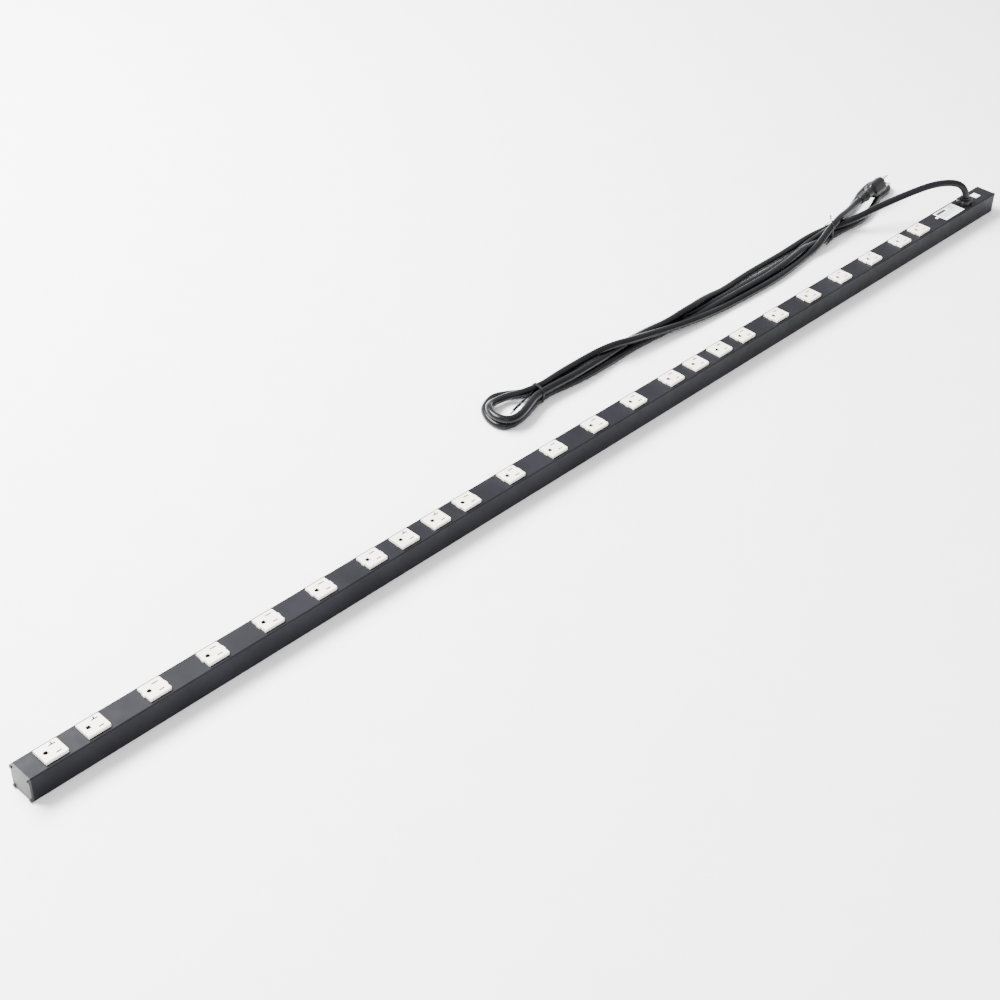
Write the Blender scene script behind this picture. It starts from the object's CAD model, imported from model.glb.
import math

import bmesh
import bpy
from mathutils import Matrix, Vector


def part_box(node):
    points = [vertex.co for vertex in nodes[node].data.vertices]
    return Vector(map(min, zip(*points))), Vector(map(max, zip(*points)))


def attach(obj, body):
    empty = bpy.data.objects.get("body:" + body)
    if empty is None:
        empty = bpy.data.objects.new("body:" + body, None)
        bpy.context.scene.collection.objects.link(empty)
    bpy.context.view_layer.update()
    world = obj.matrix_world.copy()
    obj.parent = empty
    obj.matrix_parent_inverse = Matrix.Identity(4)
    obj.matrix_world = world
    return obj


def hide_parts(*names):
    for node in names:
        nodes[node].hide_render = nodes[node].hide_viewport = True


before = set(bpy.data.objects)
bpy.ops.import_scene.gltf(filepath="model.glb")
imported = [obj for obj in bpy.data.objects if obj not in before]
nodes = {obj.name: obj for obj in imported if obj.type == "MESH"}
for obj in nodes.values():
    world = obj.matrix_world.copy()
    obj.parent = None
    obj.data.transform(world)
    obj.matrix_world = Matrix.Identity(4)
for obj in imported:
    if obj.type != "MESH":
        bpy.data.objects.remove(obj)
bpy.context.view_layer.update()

MM = 0.001
CORD_D = 10.4
CORD_R = CORD_D / 2


# ---------------------------------------------------------------- materials


def new_material(name, base, roughness, **extra):
    """A Principled material with its constants on the shader's own sockets."""
    mat = bpy.data.materials.new(name)
    mat.use_nodes = True
    shader = mat.node_tree.nodes["Principled BSDF"]
    shader.inputs["Base Color"].default_value = (*base, 1.0)
    shader.inputs["Roughness"].default_value = roughness
    for socket, value in extra.items():
        shader.inputs[socket.replace("_", " ")].default_value = value
    return mat, mat.node_tree, shader


def noise(tree, scale, detail=3.0, stretch=(1.0, 1.0, 1.0)):
    place = tree.nodes.new("ShaderNodeTexCoord")
    spread = tree.nodes.new("ShaderNodeMapping")
    spread.inputs["Scale"].default_value = stretch
    tree.links.new(place.outputs["Object"], spread.inputs["Vector"])
    texture = tree.nodes.new("ShaderNodeTexNoise")
    texture.inputs["Scale"].default_value = scale
    texture.inputs["Detail"].default_value = detail
    tree.links.new(spread.outputs["Vector"], texture.inputs["Vector"])
    return texture.outputs["Fac"]


def remap(tree, value, low, high, start=0.3, end=0.7):
    node = tree.nodes.new("ShaderNodeMapRange")
    node.inputs["From Min"].default_value = start
    node.inputs["From Max"].default_value = end
    node.inputs["To Min"].default_value = low
    node.inputs["To Max"].default_value = high
    tree.links.new(value, node.inputs["Value"])
    return node.outputs["Result"]


def two_tone(tree, value, dark, light, start=0.35, end=0.65):
    ramp = tree.nodes.new("ShaderNodeValToRGB")
    ramp.color_ramp.elements[0].position = start
    ramp.color_ramp.elements[1].position = end
    ramp.color_ramp.elements[0].color = (*dark, 1.0)
    ramp.color_ramp.elements[1].color = (*light, 1.0)
    tree.links.new(value, ramp.inputs["Fac"])
    return ramp.outputs["Color"]


def bump(tree, shader, height, strength, distance):
    node = tree.nodes.new("ShaderNodeBump")
    node.inputs["Strength"].default_value = strength
    node.inputs["Distance"].default_value = distance
    tree.links.new(height, node.inputs["Height"])
    tree.links.new(node.outputs["Normal"], shader.inputs["Normal"])


def coated(name, dark, light, roughness, grain, depth, spread=0.06, **extra):
    """Two close tones, a slightly uneven gloss and a fine surface grain."""
    mat, tree, shader = new_material(name, light, roughness, **extra)
    tone = noise(tree, 18.0, 4.0)
    tree.links.new(two_tone(tree, tone, dark, light), shader.inputs["Base Color"])
    gloss = remap(tree, noise(tree, 60.0), roughness - spread, roughness + spread)
    tree.links.new(gloss, shader.inputs["Roughness"])
    bump(tree, shader, noise(tree, grain, 2.0), 0.25, depth)
    return mat


def brushed(name, dark, light, roughness, stretch):
    mat, tree, shader = new_material(name, light, roughness, Metallic=1.0)
    lines = noise(tree, 300.0, 3.0, stretch)
    tree.links.new(two_tone(tree, lines, dark, light), shader.inputs["Base Color"])
    tree.links.new(remap(tree, lines, roughness - 0.07, roughness + 0.1), shader.inputs["Roughness"])
    bump(tree, shader, lines, 0.2, 0.00004)
    return mat


def outlet_plastic(name, dark, light, inside):
    """The face plastic, much darker down inside the slots and the pocket below them."""
    mat = coated(name, dark, light, 0.38, 1400.0, 0.00002)
    tree = mat.node_tree
    shader = tree.nodes["Principled BSDF"]
    split = tree.nodes.new("ShaderNodeSeparateXYZ")
    tree.links.new(tree.nodes.new("ShaderNodeTexCoord").outputs["Generated"], split.inputs["Vector"])
    mask = remap(tree, split.outputs["Z"], 1.0, 0.0, 0.955, 0.985)
    for axis in "XY":
        for start, end in ((0.05, 0.09), (0.95, 0.91)):
            edge = remap(tree, split.outputs[axis], 0.0, 1.0, start, end)
            both = tree.nodes.new("ShaderNodeMath")
            both.operation = "MULTIPLY"
            tree.links.new(mask, both.inputs[0])
            tree.links.new(edge, both.inputs[1])
            mask = both.outputs["Value"]
    mix = tree.nodes.new("ShaderNodeMix")
    mix.data_type = "RGBA"
    tree.links.new(mask, mix.inputs["Factor"])
    tree.links.new(shader.inputs["Base Color"].links[0].from_socket, mix.inputs[6])
    mix.inputs[7].default_value = (*inside, 1.0)
    tree.links.new(mix.outputs[2], shader.inputs["Base Color"])
    return mat


PAINT = coated("black_paint", (0.007, 0.007, 0.009), (0.010, 0.010, 0.013), 0.45, 900.0, 0.00006,
               Specular_IOR_Level=0.07)
END_METAL = coated("end_metal", (0.016, 0.016, 0.017), (0.024, 0.024, 0.026), 0.48, 700.0, 0.00005,
                   Specular_IOR_Level=0.3)
SCREW_BLACK = coated("black_screw", (0.012, 0.012, 0.013), (0.022, 0.022, 0.024), 0.36, 1200.0, 0.00003)
OUTLET_WHITE = outlet_plastic("outlet_plastic", (0.85, 0.81, 0.69), (0.89, 0.86, 0.75), (0.05, 0.04, 0.025))
BRASS = brushed("contact_brass", (0.45, 0.30, 0.11), (0.62, 0.44, 0.18), 0.30, (0.05, 1.0, 1.0))
ZINC = brushed("zinc_screw", (0.42, 0.42, 0.40), (0.58, 0.58, 0.55), 0.32, (1.0, 1.0, 0.1))
NICKEL = brushed("plug_metal", (0.55, 0.53, 0.48), (0.74, 0.72, 0.66), 0.24, (0.08, 1.0, 1.0))
CARRIER = coated("carrier_plastic", (0.010, 0.010, 0.011), (0.016, 0.016, 0.018), 0.5, 500.0, 0.00005)
LINE_WIRE = coated("line_insulation", (0.010, 0.010, 0.010), (0.018, 0.018, 0.018), 0.3, 400.0, 0.00003)
NEUTRAL_WIRE = coated("neutral_insulation", (0.66, 0.66, 0.64), (0.76, 0.76, 0.74), 0.3, 400.0, 0.00003)
GROUND_WIRE = coated("ground_insulation", (0.012, 0.11, 0.035), (0.02, 0.16, 0.05), 0.3, 400.0, 0.00003)
RELIEF = coated("relief_plastic", (0.004, 0.004, 0.005), (0.007, 0.007, 0.008), 0.30, 900.0, 0.00004,
                Specular_IOR_Level=0.2)
LABEL = coated("label_stock", (0.80, 0.80, 0.81), (0.86, 0.86, 0.87), 0.45, 1500.0, 0.00001)
PRINT = coated("label_print", (0.015, 0.015, 0.017), (0.03, 0.03, 0.033), 0.5, 1500.0, 0.00001)
JACKET = coated("cord_jacket", (0.003, 0.003, 0.004), (0.005, 0.005, 0.007), 0.24, 500.0, 0.00005,
                Specular_IOR_Level=0.16)
TIE = coated("tie_plastic", (0.004, 0.004, 0.005), (0.007, 0.007, 0.008), 0.3, 600.0, 0.00004,
             Specular_IOR_Level=0.16)
PLUG = coated("plug_plastic", (0.004, 0.004, 0.005), (0.007, 0.007, 0.009), 0.32, 800.0, 0.00007,
              Specular_IOR_Level=0.18)

FINISHES = {
    "housing_channel": PAINT, "base_plate": PAINT, "end_cap_near": END_METAL, "end_cap_far": END_METAL,
    "end_screws_near": SCREW_BLACK, "end_screws_far": SCREW_BLACK, "line_bus": BRASS, "neutral_bus": BRASS,
    "ground_bus": BRASS, "bus_carrier": CARRIER, "line_lead": LINE_WIRE, "neutral_lead": NEUTRAL_WIRE,
    "ground_lead": GROUND_WIRE, "bonding_lead": GROUND_WIRE, "bonding_screw": ZINC,
    "strain_relief_shell": RELIEF, "strain_relief_wedge": RELIEF, "rating_label": LABEL,
    "inspection_sticker": LABEL, "power_cord": JACKET, "cord_hank": JACKET, "cord_tail": JACKET,
    "hank_tie_near": TIE, "hank_tie_far": TIE, "plug_body": PLUG, "plug_line_blade": NICKEL,
    "plug_neutral_blade": NICKEL, "plug_ground_pin": NICKEL,
}


def dress(node, material, bevel=0.0):
    obj = nodes[node]
    obj.data.materials.clear()
    obj.data.materials.append(material)
    if bevel:
        edge = obj.modifiers.new("soft_edges", "BEVEL")
        edge.width = bevel
        edge.segments = 3
        edge.limit_method = "ANGLE"
        edge.harden_normals = True


BEVELS = {"end_cap_near": 0.0002, "end_cap_far": 0.0002, "base_plate": 0.0002, "strain_relief_shell": 0.0003,
          "strain_relief_wedge": 0.0003, "plug_line_blade": 0.00015, "plug_neutral_blade": 0.00015}
for node in nodes:
    dress(node, FINISHES.get(node, OUTLET_WHITE), BEVELS.get(node, 0.0))


# ---------------------------------------------------------------- helpers


def mesh_object(name, build, material, smooth=True):
    mesh = bpy.data.meshes.new(name)
    bm = bmesh.new()
    build(bm)
    bmesh.ops.recalc_face_normals(bm, faces=bm.faces)
    bm.to_mesh(mesh)
    bm.free()
    for face in mesh.polygons:
        face.use_smooth = smooth
    mesh.materials.append(material)
    obj = bpy.data.objects.new(name, mesh)
    bpy.context.scene.collection.objects.link(obj)
    return obj


def rides(obj, slot, *stands_for):
    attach(obj, "root")
    if stands_for:
        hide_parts(*stands_for)
    return obj


# ---------------------------------------------------------------- supply cord

# Points in mm in the order the cord runs; where no height is given it lies on the floor.
# From the gland up, over and down to the bundle
LEAD_OUT = [(825, 0, 42), (825, 0, 52), (813.3, 10.2, 67.5), (786, 33.5, 66.5), (753, 58, 52),
            (707, 84.5, 33), (680, 97.5, 21.5), (658, 107.5, 15.6), (636, 114.5, 11.5), (615, 117.5, 7.5)]
# The back strand, which runs to the near loop and round the outside of it
BACK = [(590, 118.6, 5.4), (570, 117), (545, 111.5), (515, 109), (475, 107.8), (430, 107.8), (390, 108),
        (350, 109), (325, 110.6), (300, 112.5), (275, 117), (250, 121.5), (215, 125.8), (175, 126.8),
        (140, 125.8), (100, 124.5), (50, 125.5), (15, 126.6)]
OUTER_LOOP = [(0, 127.8), (-13, 133.4), (-25, 141.4), (-42, 152.4), (-54, 158.4), (-64, 158.4),
              (-75.5, 154.4), (-86, 148.4), (-92, 140.4), (-97, 130.4), (-99, 120.9), (-98.8, 113),
              (-96.5, 106.5), (-91.5, 102), (-84, 100), (-75, 99.9), (-63, 101.4), (-51, 104.4),
              (-36, 109.4), (-21.5, 113.5), (-5, 115.6)]
# The second strand, out to the far loop and round it
SECOND = [(10, 115.6), (30, 112.5), (50, 110.4), (75, 108.9), (100, 108.7), (130, 109.3), (160, 111),
          (190, 110.5), (220, 108.5), (250, 106.5), (275, 104.5), (300, 103), (330, 100.5, 7),
          (360, 98.6, 8.5), (400, 98, 8.6), (450, 97.8, 8.6), (480, 98.2, 10), (505, 99.3, 11.4),
          (530, 102, 12.2), (555, 105.8, 12.2), (578, 108.2, 8), (600, 108, 5.4), (625, 107), (660, 106.7),
          (690, 105), (712, 104.9)]
FAR_LOOP = [(737, 111.2), (760, 118.5), (777, 125.5), (790, 129.6), (803, 130.6), (814, 131.6),
            (823.5, 134.8), (829.2, 140.2), (831, 147.5), (829.2, 155), (823.5, 160.5), (815, 162.6),
            (805, 161.8), (795, 159.8), (785, 157.5), (772, 154.5), (758, 149), (733, 140.4), (708, 132.4),
            (685, 126.8)]
# The third strand, back along the floor and over the others to the inside of the near loop
THIRD = [(664, 123.8), (640, 125.5), (615, 127.8), (590, 128.6), (560, 126.8), (520, 125), (480, 125),
         (450, 124.7), (420, 123.2), (400, 121.8), (375, 120, 6), (350, 119, 9.6), (325, 115.9, 14),
         (300, 113, 15.8), (275, 112.5, 15.8), (250, 113, 13.5), (225, 115.5, 12.3), (200, 118, 12.3),
         (165, 118.2, 12.3), (135, 116.5, 12.5), (110, 113.8, 13.8), (75, 111.5, 15.7), (40, 110.8, 15.8),
         (10, 112.5, 15.8), (-5, 112.6, 15.8)]
INNER_LOOP = [(-18, 113.2, 15.8), (-32, 110.5, 15.8), (-45, 105.6, 15.8), (-58, 101, 15.5),
              (-70, 97.6, 15.2), (-81, 96.6, 15.2), (-91, 99.6, 15.4), (-96.8, 107.6, 15.6),
              (-98.3, 118, 15.5), (-95.6, 128, 15.4), (-89.6, 136.6, 15), (-82, 143, 12.5),
              (-71, 146.5, 10), (-58, 146.5, 8.5), (-46, 143.5, 9.5), (-33, 134.8, 11.5), (-22, 130, 13.5),
              (-10, 126.3, 15), (3, 124.5, 15.8)]
# The top strand, over the others to the front, along the floor and over them again to the plug
TOP = [(20, 125.8, 15.8), (45, 127, 16), (88, 125, 18.5), (112, 121.5, 21), (135, 115.8, 23),
       (160, 110.5, 20.5), (185, 107.5, 17.5), (215, 103, 14.7), (244, 98.9, 12), (270, 95.8, 10),
       (297, 93, 8.2), (325, 91, 6.4), (350, 89.8, 5.3), (400, 88), (450, 87.3), (480, 88.5), (505, 90.8),
       (530, 94), (555, 97.3, 5.6), (578, 97.8, 9.8), (600, 102, 15), (620, 106.3, 19.5), (640, 109.5, 24),
       (660, 114.2, 24.2), (685, 119, 21.6), (705, 123.6, 20.2)]
PLUG_TAIL = [(718.4, 126.7, 20.1), (731.4, 127.9, 20.8)]
CORD_ROUTE = LEAD_OUT + BACK + OUTER_LOOP + SECOND + FAR_LOOP + THIRD + INNER_LOOP + TOP + PLUG_TAIL


def supply_cord():
    curve = bpy.data.curves.new("supply_cord", "CURVE")
    curve.dimensions = "3D"
    curve.resolution_u = 8
    curve.bevel_depth = CORD_R * MM
    curve.bevel_resolution = 8
    curve.use_fill_caps = True
    line = curve.splines.new("NURBS")
    line.points.add(len(CORD_ROUTE) - 1)
    for point, place in zip(line.points, CORD_ROUTE):
        x, y, z = (*place, CORD_R)[:3]
        point.co = (x * MM, y * MM, z * MM, 1.0)
    line.order_u = 3
    line.use_endpoint_u = True
    curve.materials.append(JACKET)
    cord = bpy.data.objects.new("supply_cord", curve)
    bpy.context.scene.collection.objects.link(cord)
    return rides(cord, "cord_jacket", "power_cord", "cord_hank", "cord_tail")


cord = supply_cord()


# ---------------------------------------------------------------- plug body

PLUG_REAR = Vector((731.4, 127.9, 20.8)) * MM
PLUG_YAW, PLUG_PITCH, PLUG_ROLL = (math.radians(angle) for angle in (5.3, 3.0, 61.0))
PLUG_LEN, PLUG_HEAD = 66.6, 29.5
# Half of the head's outline, as face directions in degrees with their distances from the centre line
HEAD_FACES = [(0, 12.0), (49.8, 11.1), (90, 9.0), (130.2, 11.1), (180, 12.0), (212, 12.45), (270, 12.8),
              (328, 12.45)]
NECK_R = 6.6
RIB_PITCH, RIB_DEPTH = 3.6, 0.55
RIDGE_PITCH, RIDGE_DEPTH = 3.4, 0.3
RIM = 1.4


def head_radius(angle, scale, sharp=22.0):
    """Distance to a rounded polygon's edge in one direction."""
    total = 0.0
    for face, distance in HEAD_FACES:
        lean = math.cos(angle - math.radians(face))
        if lean > 0:
            total += (lean / (distance * scale)) ** sharp
    return total ** (-1.0 / sharp)


def smooth_step(value, low, high):
    t = min(max((value - low) / (high - low), 0.0), 1.0)
    return t * t * (3 - 2 * t)


def plug_radius(x, angle):
    """The strain relief's ribbed cone, a waist, then the head with finger ridges and a rounded rim."""
    head_x = PLUG_LEN - PLUG_HEAD
    relief = NECK_R + 1.5 * smooth_step(x, 8, 18) - 0.6 * smooth_step(x, 17, 24)
    if 1.5 < x < 19.5:
        relief += RIB_DEPTH * max(0.0, math.sin((x - 1.5) * 2 * math.pi / RIB_PITCH)) ** 0.6
    head = head_radius(angle, 0.97)
    ridge = 0.0
    if head_x + 4 < x < PLUG_LEN - 5:
        ridge = max(0.0, math.sin((x - head_x - 4) * 2 * math.pi / RIDGE_PITCH))
    side = max(0.0, abs(math.cos(angle)) - 0.9) * 10
    head += RIDGE_DEPTH * ridge * side
    blend = smooth_step(x, head_x - 7, head_x + 1.0)
    radius = relief + (head - relief) * blend
    rim = max(0.0, x - (PLUG_LEN - RIM)) / RIM
    return radius * (1 - 0.07 * rim * rim)


def plug_shape(bm, around=96, step=0.3):
    count = round(PLUG_LEN / step)
    rings = []
    for i in range(count + 1):
        x = PLUG_LEN * i / count
        ring = []
        for k in range(around):
            angle = 2 * math.pi * k / around
            r = plug_radius(x, angle)
            ring.append(bm.verts.new((x * MM, r * math.cos(angle) * MM, r * math.sin(angle) * MM)))
        rings.append(ring)
    for a, b in zip(rings, rings[1:]):
        for k in range(around):
            bm.faces.new((a[k], a[(k + 1) % around], b[(k + 1) % around], b[k]))
    bm.faces.new(rings[0][::-1])
    bm.faces.new(rings[-1])


plug = mesh_object("moulded_plug", plug_shape, PLUG)
turned = Matrix.Rotation(PLUG_YAW, 4, "Z") @ Matrix.Rotation(-PLUG_PITCH, 4, "Y")
aim = turned @ Matrix.Rotation(PLUG_ROLL, 4, "X")
plug.data.transform(Matrix.Translation(PLUG_REAR) @ aim)
rides(plug, "plug_plastic", "plug_body")


# ---------------------------------------------------------------- ties on the bundle

TIE_W, TIE_T = 3.6, 0.9
END_W, END_T = 2.2, 1.3


def hull_path(centres, radius, count=72):
    """Points on a band stretched round circles, found by its support in each direction."""
    path = []
    for k in range(count):
        angle = 2 * math.pi * k / count
        out = Vector((math.cos(angle), math.sin(angle)))
        far = max(centres, key=lambda c: Vector(c).dot(out))
        path.append((far[0] + radius * out.x, far[1] + radius * out.y))
    return path


def strip(bm, path, across, thickness, closed):
    """A flat strip along path; across gives the half-width vector at each point, normal to the path."""
    rings = []
    for i, point in enumerate(path):
        before = path[i - 1] if i or closed else path[i]
        after = path[(i + 1) % len(path)] if i + 1 < len(path) or closed else path[i]
        along = (after - before).normalized()
        half = across[i]
        up = along.cross(half).normalized() * thickness / 2
        corners = (point - half - up, point + half - up, point + half + up, point - half + up)
        rings.append([bm.verts.new(c * MM) for c in corners])
    pairs = list(zip(rings, rings[1:])) + ([(rings[-1], rings[0])] if closed else [])
    for a, b in pairs:
        for k in range(4):
            bm.faces.new((a[k], a[(k + 1) % 4], b[(k + 1) % 4], b[k]))
    if not closed:
        bm.faces.new(rings[0][::-1])
        bm.faces.new(rings[-1])


def twisted_end(bm, start, through, finish, turns):
    """One loose end of a tie, a narrow strip that turns over as it bends away."""
    path, across = [], []
    for i in range(29):
        t = i / 28
        path.append(start * (1 - t) ** 2 + through * 2 * t * (1 - t) + finish * t * t)
        along = (through - start).lerp(finish - through, t).normalized()
        side = along.cross(Vector((0, 0, 1))).normalized()
        turn = 2 * math.pi * turns * t
        across.append((side * math.cos(turn) + side.cross(along) * math.sin(turn)) * END_W / 2)
    strip(bm, path, across, END_T, False)


def twist_tie(name, node, x, centres, lean, ends):
    """A coated wire strip round the strands, leaning across them, with its two loose ends."""

    def build(bm):
        band = hull_path(centres, CORD_R + TIE_T / 2 + 0.1)
        middle = sum(y for y, z in band) / len(band)
        loop = [Vector((x + lean * (y - middle), y, max(z, TIE_T / 2))) for y, z in band]
        strip(bm, loop, [Vector((TIE_W / 2, 0, 0))] * len(loop), TIE_T, True)
        for points, turns in ends:
            twisted_end(bm, *(Vector(point) for point in points), turns)

    tie = mesh_object(name, build, TIE, smooth=False)
    edge = tie.modifiers.new("soft_edges", "BEVEL")
    edge.width, edge.segments = 0.0002, 2
    return rides(tie, "tie_plastic", node)


NEAR_TIE_STRANDS = [(133.2, CORD_R), (114.6, CORD_R), (112.9, 15.8), (127.2, 14.7)]
NEAR_TIE_ENDS = [(((-12.5, 128, 13), (-46, 118.5, 10), (-72, 114.5, 8)), 2.5),
                 (((-12.5, 126, 14.5), (-42, 118.5, 13), (-65, 117, 10)), 2.0)]
FAR_TIE_STRANDS = [(106.9, CORD_R), (125.8, CORD_R), (114.8, 11.1), (108.4, 23.4)]
FAR_TIE_ENDS = [(((638, 117.5, 25.5), (640, 119.5, 28), (644, 123, 29)), 0.75),
                (((624, 101.6, 9), (613, 97.5, 7), (601, 96, 5.5)), 1.5)]
near_tie = twist_tie("near_twist_tie", "hank_tie_near", -12.5, NEAR_TIE_STRANDS, 0.25, NEAR_TIE_ENDS)
far_tie = twist_tie("far_twist_tie", "hank_tie_far", 634.0, FAR_TIE_STRANDS, 0.8, FAR_TIE_ENDS)


# ---------------------------------------------------------------- printed marks on the label


def label_marks(bm):
    """A solid block and plain bars, which spell nothing."""
    low, high = (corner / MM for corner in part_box("rating_label"))
    top = high.z + 0.02
    right, left, back = high.x, low.x + 7.5, high.y
    bars = [(left + 3, left + 26, back - 7.5, back - 2.5)]
    for row in range(4):
        y = back - 10.0 - row * 2.4
        bars.append((left + 3, left + (34, 28, 38, 22)[row], y - 0.7, y))
    for row in range(5):
        y = back - 3.0 - row * 1.8
        bars.append((right - 17, right - (3, 6, 4, 8, 5)[row], y - 0.5, y))
    for x0, x1, y0, y1 in bars:
        corners = [(x0, y0), (x1, y0), (x1, y1), (x0, y1)]
        bm.faces.new([bm.verts.new((x * MM, y * MM, top * MM)) for x, y in corners])


marks = mesh_object("label_marks", label_marks, PRINT, smooth=False)
plate = marks.modifiers.new("ink", "SOLIDIFY")
plate.thickness = 0.00003
rides(marks, "label_stock")


# ---------------------------------------------------------------- camera, floor and light

CAMERA_AT = (-1.42347, -1.13611, 1.29466)
YAW, PITCH, ROLL = 0.7520, 0.6622, -0.0321
FOCAL_MM, SENSOR_MM, SHIFT_Y = 62.11, 36.0, 0.0039


def camera():
    forward = Vector((math.cos(YAW) * math.cos(PITCH), math.sin(YAW) * math.cos(PITCH), -math.sin(PITCH)))
    level = Vector((math.sin(YAW), -math.cos(YAW), 0.0))
    down = forward.cross(level)
    right = math.cos(ROLL) * level + math.sin(ROLL) * down
    down = -math.sin(ROLL) * level + math.cos(ROLL) * down
    data = bpy.data.cameras.new("view")
    data.lens, data.sensor_width, data.shift_y = FOCAL_MM, SENSOR_MM, SHIFT_Y
    data.clip_start, data.clip_end = 0.01, 50.0
    view = bpy.data.objects.new("view", data)
    axes = Matrix((right, -down, -forward)).transposed().to_4x4()
    view.matrix_world = Matrix.Translation(CAMERA_AT) @ axes
    bpy.context.scene.collection.objects.link(view)
    bpy.context.scene.camera = view


def floor():
    size = 12.0
    mesh = bpy.data.meshes.new("floor")
    corners = [(-size, -size, 0), (size, -size, 0), (size, size, 0), (-size, size, 0)]
    mesh.from_pydata(corners, [], [(0, 1, 2, 3)])
    mesh.materials.append(coated("floor_white", (0.93, 0.93, 0.93), (0.95, 0.95, 0.95), 0.7, 200.0, 0.00002))
    obj = bpy.data.objects.new("floor", mesh)
    bpy.context.scene.collection.objects.link(obj)


def area_light(name, place, target, size, power):
    data = bpy.data.lights.new(name, "AREA")
    data.shape, data.size, data.size_y, data.energy = "RECTANGLE", size[0], size[1], power
    lamp = bpy.data.objects.new(name, data)
    lamp.location = place
    direction = Vector(target) - Vector(place)
    lamp.rotation_euler = direction.to_track_quat("-Z", "Y").to_euler()
    bpy.context.scene.collection.objects.link(lamp)


camera()
floor()
world = bpy.data.worlds.new("studio")
world.use_nodes = True
world.node_tree.nodes["Background"].inputs["Color"].default_value = (1.0, 1.0, 1.0, 1.0)
world.node_tree.nodes["Background"].inputs["Strength"].default_value = 1.5
bpy.context.scene.world = world
area_light("key", (-0.9, 1.9, 2.3), (0.0, 0.1, 0.0), (2.6, 1.2), 680.0)
area_light("fill", (-2.0, -1.8, 1.6), (0.0, 0.0, 0.0), (1.6, 1.6), 30.0)
